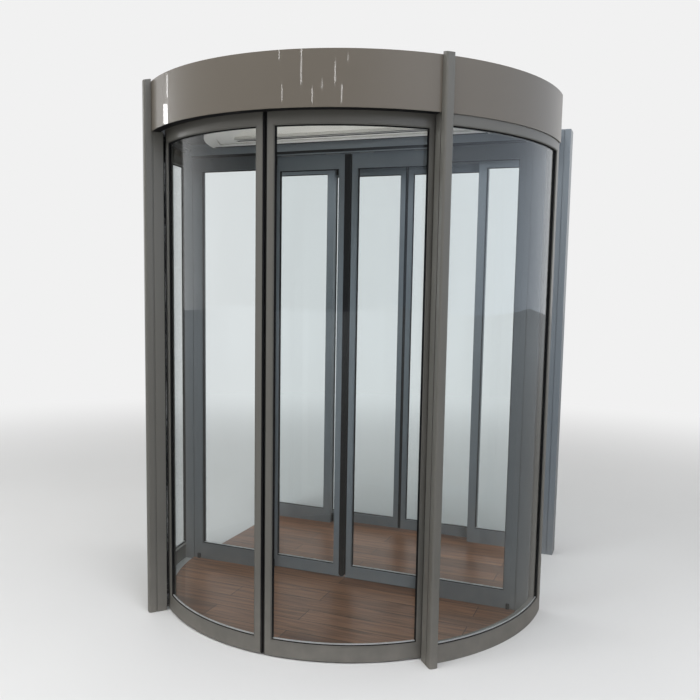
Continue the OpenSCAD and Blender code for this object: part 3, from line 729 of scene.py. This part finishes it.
# %% Brushes
def edge_angle(node, which):
    """The first or last angle of the right-hand part of a node, in degrees from the front."""
    return which(math.degrees(math.atan2(p.x, -p.y)) for p in pane_points(node, 1))


def bristle_rows(radius, inward, first, z_low, z_high, side):
    """Two staggered rows of bristle roots up a bent face, with the way they point."""
    rows = []
    for row in range(2):
        angle = side * (first + row_apart * row)
        way = on_drum(-1 if inward else 1, angle, 0)
        count = int((z_high - z_low) / bristle_pitch)
        rows += [(on_drum(radius, angle, z_low + (i + row / 2) * bristle_pitch), way)
                 for i in range(count)]
    return rows


bristle_pitch, bristle_length, row_apart = 0.003, 0.0088, 0.12
brush_foot, panel_brush_head, leaf_brush_head = 0.016, 2.176, 2.17
carrier_deep, root_deep, carrier_foot, carrier_head = 0.0025, 0.002, 0.014, 2.18
carrier_start, carrier_end, panel_roots, leaf_roots = 0.04, 0.5, 0.2, 0.3
bristle = dict(Sides=3, Foot_Radius=0.0009, Tip_Radius=0.0005, Length=bristle_length, Lean=0.09)
panel_face, panel_edge = faces_of("side_frames", 1, True)[0], edge_angle("side_frames", min)
leaf_face = faces_of("curved_leaf_right", 1, True)[1]
leaf_edge = edge_angle("curved_leaf_right", max)
carriers = bmesh.new()
fixed_rows = []
for word, side in sides.items():
    bent_bar(carriers, panel_face - carrier_deep, panel_face - hair, carrier_foot, carrier_head,
             side * (panel_edge + carrier_start), side * (panel_edge + carrier_end))
    fixed_rows += bristle_rows(panel_face - root_deep, True, panel_edge + panel_roots,
                               brush_foot, panel_brush_head, side)
    leaf_rows = bristle_rows(leaf_face, False, leaf_edge - leaf_roots,
                             brush_foot, leaf_brush_head, side)
    cone_piece(f"leaf_brush_{word}", leaf_rows, f"curved_{word}", "rubber", black_rubber, **bristle)
piece("brush_carriers", carriers, black_rubber, "frame")
cone_piece("panel_brushes", fixed_rows, "frame", "rubber", black_rubber, **bristle)
print("gap between panel and leaf", round((panel_face - leaf_face) * 1000, 1), "mm")

# %% [markdown]
# ## Bolts and screws of the canopy
#
# Hexagon bolts hold the bracket plates to the two rails, one head on each face of a
# plate. Round screws hold the fascia to the upper ring. They show from above only.

# %% Bolts and screws
bracket_angles, screw_angles = range(-75, 76, 15), range(-85, 86, 10)
bolt_inward, bolt_above_rail, plate_half = (0.020, 0.066), 0.0075, 0.003
rail_out = faces_of("track_rails", 1, True)[1]
bolt_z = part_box("track_rails")[1][2] + bolt_above_rail
bolts = []
for angle in bracket_angles:
    across = on_drum(1, angle + 90, 0)
    for inward in bolt_inward:
        middle = on_drum(rail_out - inward, angle, bolt_z)
        for way in (1, -1):
            bolts.append((middle + across * way * plate_half, across * way))
cone_piece("bracket_bolts", bolts, "frame", "steel", bare_metal,
           Sides=6, Foot_Radius=0.0055, Tip_Radius=0.0052, Length=0.004, Lean=0.0)
ring_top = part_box("canopy_rings")[1][2]
ring_middle = sum(faces_of("canopy_rings", 1, True)) / 2
screws = [(on_drum(ring_middle, angle, ring_top), Vector((0, 0, 1))) for angle in screw_angles]
cone_piece("ring_screws", screws, "frame", "steel", bare_metal,
           Sides=14, Foot_Radius=0.0045, Tip_Radius=0.0036, Length=0.0014, Lean=0.0)
print(len(bolts), "bolt heads and", len(screws), "screws")

# %% [markdown]
# ## Surroundings
#
# The world is almost white where the camera, a mirror reflection or a look through
# glass meets it, and lends only a modest light to everything else. A real hall is
# darker on the side of the photographer than beyond the door, so what the glass and
# the coat mirror from there is a dark grey, a little blue from the right.

# %% World
backdrop, lit_share = (0.88, 0.88, 0.88, 1), (0.34, 0.34, 0.34, 1)
hall_ahead, hall_right = (0.12, 0.117, 0.110, 1), (0.34, 0.39, 0.46, 1)
beyond_right = (0.78, 0.87, 1.0, 1)


def seen_share(tree, rays):
    """1 for a ray that shows the surroundings, straight, mirrored or through glass, else 0."""
    kinds = sum_of(tree, "MAXIMUM", rays["Is Camera Ray"],
                   sum_of(tree, "MAXIMUM", rays["Is Glossy Ray"], rays["Is Transmission Ray"]))
    return sum_of(tree, "MULTIPLY", kinds, sum_of(tree, "LESS_THAN", rays["Diffuse Depth"], 0.5))


world = bpy.data.worlds.new("pale_hall")
bpy.context.scene.world = world
world.use_nodes = True
sky = world.node_tree
rays = add_node(sky, "ShaderNodeLightPath").outputs
way = add_node(sky, "ShaderNodeSeparateXYZ",
               {"Vector": add_node(sky, "ShaderNodeTexCoord").outputs["Generated"]}).outputs
to_front = add_node(sky, "ShaderNodeMapRange",
                    {"Value": way["Y"], "From Min": -0.1, "From Max": -0.75}).outputs["Result"]
to_right = add_node(sky, "ShaderNodeMapRange",
                    {"Value": way["X"], "From Min": 0.2, "From Max": 0.9}).outputs["Result"]
hall = mixed_colour(sky, to_right, hall_ahead, hall_right)
beyond_door = mixed_colour(sky, to_right, backdrop, beyond_right)
mirrored = mixed_colour(sky, to_front, beyond_door, hall)
in_mirror = sum_of(sky, "GREATER_THAN", rays["Glossy Depth"], 0.5)
shown = mixed_colour(sky, in_mirror, backdrop, mirrored)
seen = seen_share(sky, rays)
background = sky.nodes["Background"]
sky.links.new(mixed_colour(sky, seen, lit_share, shown), background.inputs["Color"])
print("world with", len(sky.nodes), "nodes")

# %% [markdown]
# ## Floor
#
# A wide pale floor lies just under the door. Far from the door it goes over into the
# colour of the world. Where glass or coat mirrors it, it is darker than where it is
# seen straight, as in a hall that is darker on the photographer's side.

# %% Floor
floor_half, floor_drop = 40, 0.0008
floor_dark, floor_light = (0.74, 0.74, 0.73, 1), (0.79, 0.79, 0.78, 1)
mirrored_near, mirrored_away = (0.26, 0.25, 0.235, 1), (0.42, 0.43, 0.44, 1)
ground = bmesh.new()
bmesh.ops.create_grid(ground, x_segments=1, y_segments=1, size=floor_half)
ground_data = bpy.data.meshes.new("hall_floor")
ground.to_mesh(ground_data)
ground.free()
hall_floor = bpy.data.objects.new("hall_floor", ground_data)
bpy.context.scene.collection.objects.link(hall_floor)
hall_floor.location.z = -floor_drop
floor_finish, floor_tree, floor_shader = start_material("pale_floor", Roughness=0.7)
floor_place = add_node(floor_tree, "ShaderNodeTexCoord").outputs["Object"]
cloud = add_node(floor_tree, "ShaderNodeTexNoise",
                 {"Vector": floor_place, "Scale": 0.8}).outputs["Fac"]
floor_tree.links.new(mixed_colour(floor_tree, cloud, floor_dark, floor_light),
                     floor_shader.inputs["Base Color"])
from_door = add_node(floor_tree, "ShaderNodeVectorMath", {0: floor_place},
                     operation="LENGTH").outputs["Value"]
far_share = add_node(floor_tree, "ShaderNodeMapRange",
                     {"Value": from_door, "From Min": 2.2, "From Max": 7.0},
                     interpolation_type="SMOOTHSTEP").outputs["Result"]
floor_rays = add_node(floor_tree, "ShaderNodeLightPath").outputs
floor_seen = seen_share(floor_tree, floor_rays)
far_floor = add_node(floor_tree, "ShaderNodeEmission", {"Color": backdrop}).outputs[0]
floor_mix = add_node(floor_tree, "ShaderNodeMixShader",
                     {0: sum_of(floor_tree, "MULTIPLY", far_share, floor_seen),
                      1: floor_shader.outputs[0], 2: far_floor}).outputs[0]
mirrored_far = add_node(floor_tree, "ShaderNodeMapRange",
                        {"Value": from_door, "From Min": 3.0, "From Max": 16.0}).outputs["Result"]
mirrored_floor = mixed_colour(floor_tree, mirrored_far, mirrored_near, mirrored_away)
mirror_floor = add_node(floor_tree, "ShaderNodeEmission", {"Color": mirrored_floor}).outputs[0]
in_mirror = sum_of(floor_tree, "MULTIPLY", floor_seen,
                   sum_of(floor_tree, "GREATER_THAN", floor_rays["Glossy Depth"], 0.5))
floor_whole = add_node(floor_tree, "ShaderNodeMixShader",
                       {0: in_mirror, 1: floor_mix, 2: mirror_floor}).outputs[0]
floor_tree.links.new(floor_whole, floor_tree.nodes["Material Output"].inputs["Surface"])
ground_data.materials.append(floor_finish)
print("floor", 2 * floor_half, "m across")

# %% [markdown]
# ## Lamps
#
# The light is plain and soft: a wide lamp above and one from each side. A weak lamp
# near the floor lights the ceiling, as a real floor does. Its beam is narrow, so it
# doesn't light the leaves beside it. None of these lamps is seen itself, neither
# straight nor mirrored nor through glass.

# %% Lamps
def lamp(name, place, target, size, power, tall=None):
    """An area lamp at a place, turned to a target: square, or narrow and tall."""
    data = bpy.data.lights.new(name, "AREA")
    data.energy, data.size = power, size
    if tall:
        data.shape, data.size_y = "RECTANGLE", tall
    made = bpy.data.objects.new(name, data)
    made.location = place
    made.rotation_euler = (Vector(target) - Vector(place)).to_track_quat("-Z", "Y").to_euler()
    bpy.context.scene.collection.objects.link(made)
    return made


above = lamp("lamp_above", (0.0, -1.2, 6.0), (0, 0.1, 0), 5.0, 250)
left = lamp("lamp_left", (-3.0, -4.9, 4.3), (0, 0, 1.3), 3.0, 102)
cooler = lamp("lamp_right", (4.2, -3.8, 4.1), (0, 0, 1.3), 3.0, 110)
cooler.data.color = (0.95, 0.98, 1.08)
upward = lamp("floor_glow", (0.0, -0.5, 0.03), (0, -0.5, 2.2), 0.6, 1.85)
upward.data.spread = math.radians(50)
for soft in (above, left, cooler, upward):
    soft.visible_glossy = soft.visible_camera = soft.visible_transmission = False
print("three soft lamps, and a weak one for the light that the floor throws up")

# %% [markdown]
# ## Lamp streaks on the round fascia
#
# The hall's ceiling lamps are mirrored in the round coat as short, narrow, upright
# streaks. A far narrow lamp makes one streak, so the way it must lie in is found by
# mirroring the line of sight at the fascia's point. These lamps only show in
# mirrors and add nothing to the plain light. Each row gives a point on the fascia,
# as an angle from the front and a height, then how tall the streak looks there and
# how broad its lamp is. A lamp stands 9 m from its point, and the camera about 3 m.

# %% Narrow far lamps
def mirrored_way(point):
    """Where a line of sight from the camera goes after the round fascia mirrors it."""
    normal = Vector((point.x, point.y, 0)).normalized()
    sight = (point - view_place).normalized()
    return sight - 2 * sight.dot(normal) * normal


streaks = ((5.2, 2.376, 0.030, 0.08), (5.9, 2.240, 0.055, 0.08), (10.15, 2.33, 0.120, 0.10),
           (12.6, 2.226, 0.050, 0.08), (14.7, 2.266, 0.030, 0.06), (17.45, 2.306, 0.075, 0.09),
           (18.9, 2.236, 0.060, 0.08), (20.1, 2.36, 0.020, 0.06), (-29.4, 2.335, 0.075, 0.12),
           (-30.4, 2.226, 0.070, 0.75))
fascia_radius, far, to_drum, strength = 1.0, 9.0, 3.0, 70
for number, (angle, z, streak_tall, broad) in enumerate(streaks):
    spot = on_drum(fascia_radius, angle, z)
    place = spot + mirrored_way(spot) * far
    tall = streak_tall * (far + to_drum) / to_drum
    narrow = lamp(f"far_lamp_{number}", place, spot, broad, strength * broad * tall, tall)
    narrow.visible_diffuse = narrow.visible_transmission = narrow.visible_camera = False
print(len(streaks), "far lamps")
